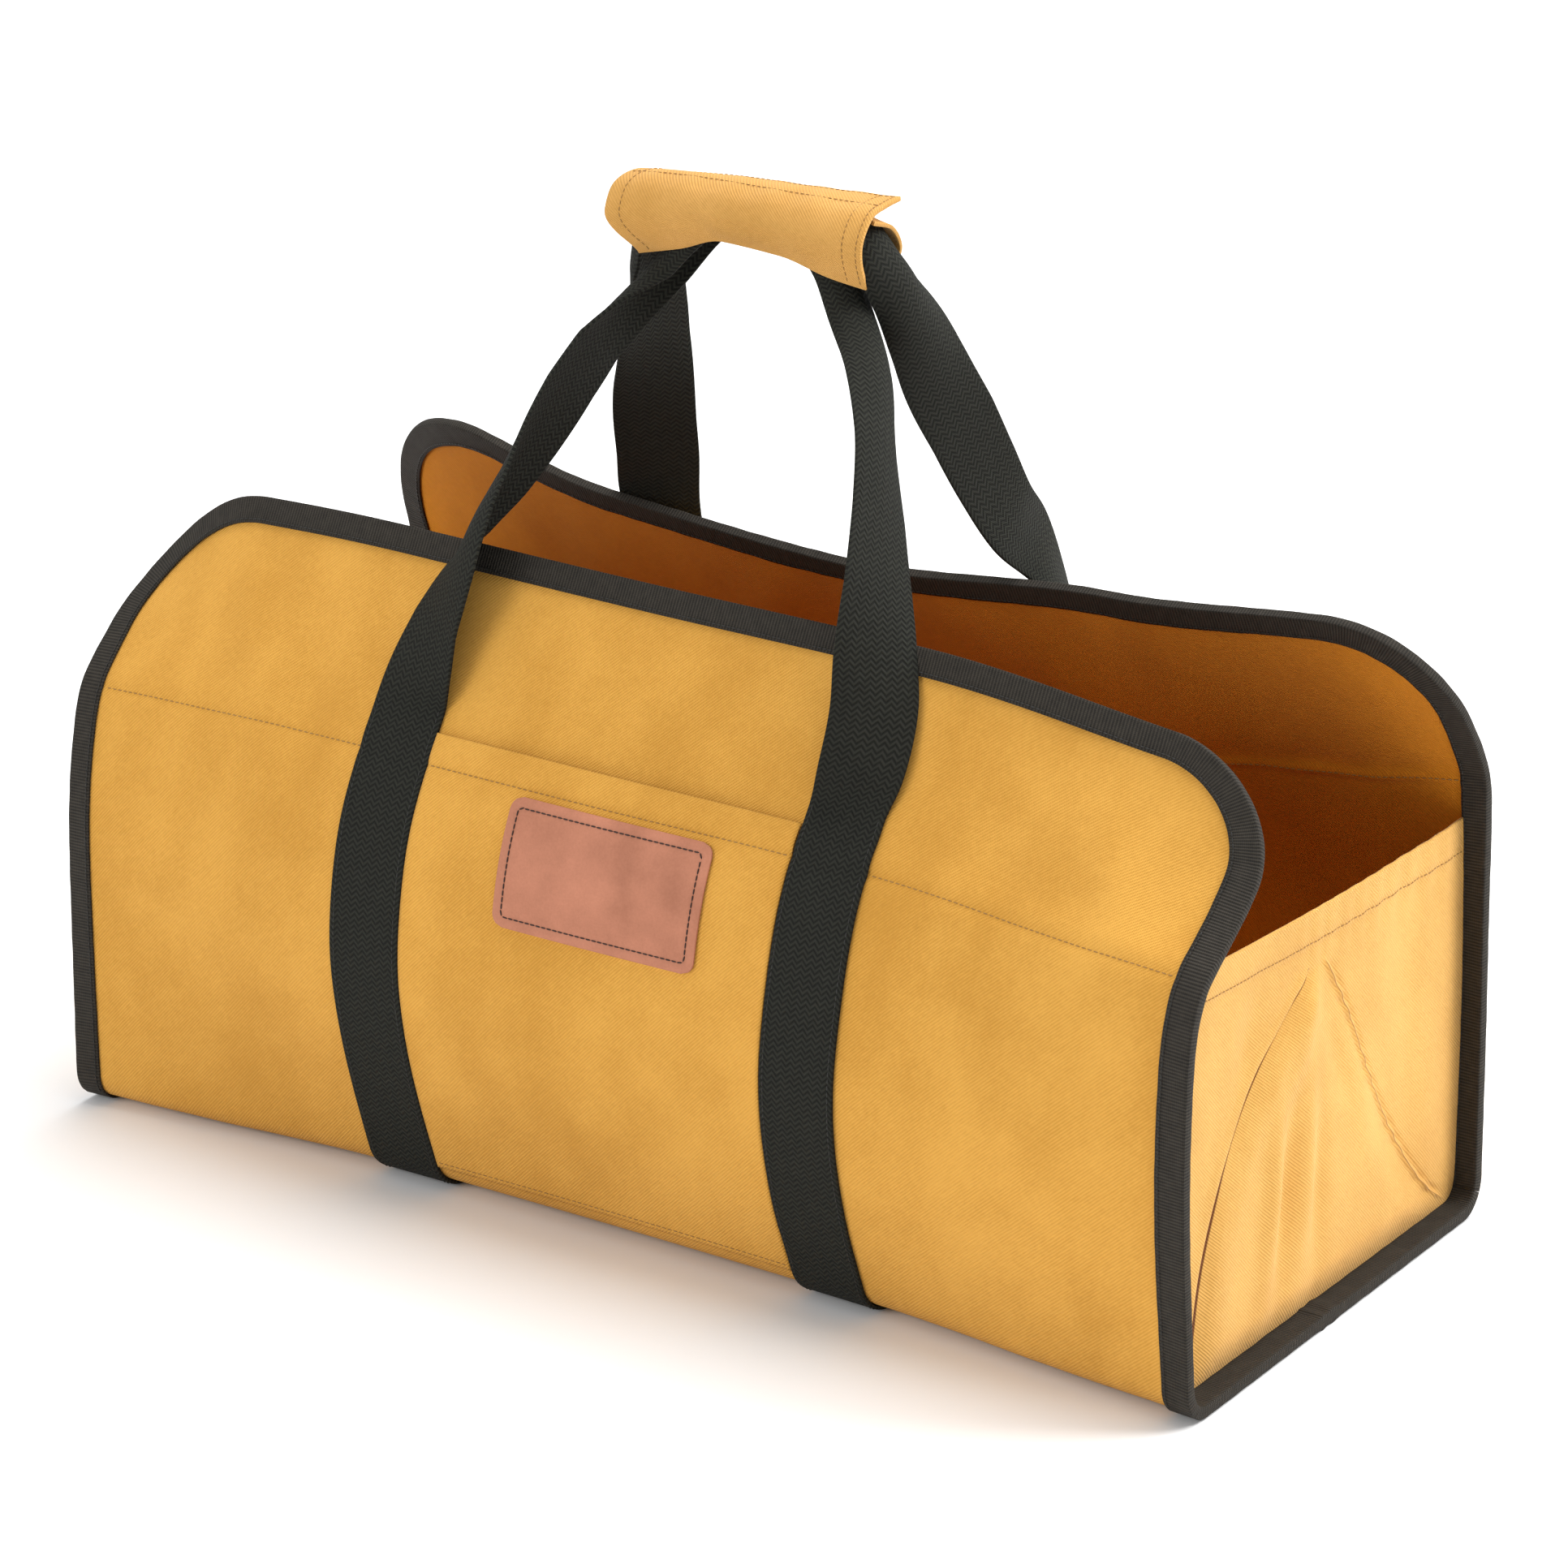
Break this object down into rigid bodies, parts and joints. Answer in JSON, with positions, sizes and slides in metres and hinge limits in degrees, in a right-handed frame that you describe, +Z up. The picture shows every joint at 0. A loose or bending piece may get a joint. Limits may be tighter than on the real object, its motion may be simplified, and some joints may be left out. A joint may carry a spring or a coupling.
{
  "type": "canvas log carrier",
  "caption": "Open-topped canvas trough with pleated end walls, taped edges, a front pocket and two webbing straps that meet in a wrapped grip.",
  "frame": {"origin": "middle of the whole object in plan, on the surface it stands on", "axes": "+X along the length to the right as seen from the front, +Y from the front with the pocket to the back, +Z up"},
  "size_m": [0.61, 0.3106, 0.4646],
  "materials": {
    "canvas": "matte twill canvas, golden tan",
    "webbing": "matte herringbone webbing, charcoal",
    "tape": "matte ribbed tape, charcoal",
    "leather": "matte pink-brown leather"
  },
  "bodies": {
    "root": {"body_panel": "canvas", "gusset_right": "canvas", "gusset_left": "canvas", "binding_front": "tape", "binding_back": "tape", "binding_base_right": "tape", "binding_base_left": "tape", "strap_front": "webbing", "strap_back": "webbing", "grip_wrap": "canvas", "pocket": "canvas", "leather_patch": "leather"}
  },
  "joints": []
}
